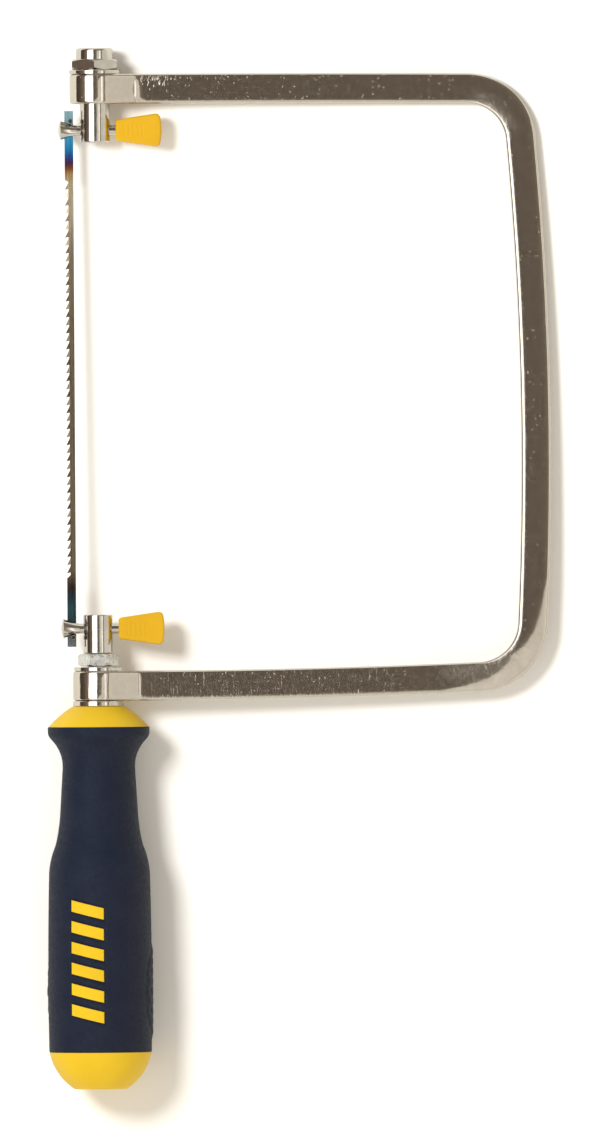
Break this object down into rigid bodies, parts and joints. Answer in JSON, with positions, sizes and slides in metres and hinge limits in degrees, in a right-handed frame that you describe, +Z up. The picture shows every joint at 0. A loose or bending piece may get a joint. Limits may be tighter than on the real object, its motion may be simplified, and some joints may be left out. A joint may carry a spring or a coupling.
{
  "type": "coping saw",
  "caption": "Hand saw with a thin pinned blade held across a deep sprung bow by two swivelling posts, tightened by turning its handle.",
  "frame": {"origin": "centre of the flat end of the handle", "axes": "+Z up the handle's and posts' common axis towards the upper eye, +X from that axis towards the bow's spine, -Y the side the motif faces"},
  "size_m": [0.161, 0.0331, 0.3309],
  "materials": {
    "nickel_bow": "bright nickel plate over rolled bar",
    "nickel_spindle": "nickel plate over turned steel",
    "zinc_hardware": "bright zinc plate",
    "nylon": "natural nylon",
    "blade_steel": "ground spring steel with tempered ends",
    "pin_steel": "plain steel",
    "yellow_knob": "moulded, satin",
    "yellow_core": "moulded, satin",
    "navy_grip": "soft matt overmould"
  },
  "bodies": {
    "frame": {"frame_bow": "nickel_bow", "upper_washer": "zinc_hardware", "lower_eye_bushing": "nickel_spindle"},
    "upper_holder": {"upper_spindle": "nickel_spindle", "upper_lock_nut": "zinc_hardware", "lock_nut_insert": "nylon", "upper_cross_pin": "nickel_spindle", "upper_knob": "yellow_knob", "saw_blade": "blade_steel", "blade_pin_upper": "pin_steel", "blade_pin_lower": "pin_steel"},
    "lower_carriage": {"lower_washer": "zinc_hardware"},
    "lower_holder": {"lower_spindle": "nickel_spindle", "tension_screw": "zinc_hardware", "lower_jam_nut": "zinc_hardware", "lower_cross_pin": "nickel_spindle", "lower_knob": "yellow_knob"},
    "handle": {"handle_core": "yellow_core", "handle_grip": "navy_grip", "handle_thread_insert": "zinc_hardware"}
  },
  "joints": [
    {"name": "blade_swivel", "type": "hinge", "parent": "frame", "child": "upper_holder", "pos_m": [0, 0, 0.3048], "axis": [0, 0, 1], "continuous": true},
    {"name": "handle_turn", "type": "hinge", "parent": "frame", "child": "handle", "pos_m": [0, 0, 0], "axis": [0, 0, 1], "range_deg": [-1440, 0]},
    {"name": "tension_slide", "type": "slide", "parent": "frame", "child": "lower_carriage", "axis": [0, 0, 1], "range_m": [0, 0.0051]},
    {"name": "lower_swivel", "type": "hinge", "parent": "lower_carriage", "child": "lower_holder", "pos_m": [0, 0, 0.1464], "axis": [0, 0, 1], "continuous": true}
  ],
  "couplings": [
    {"joint": "lower_swivel", "follows": "blade_swivel", "ratio": 1},
    {"joint": "tension_slide", "follows": "handle_turn", "m_per_rad": -0.00020213}
  ]
}
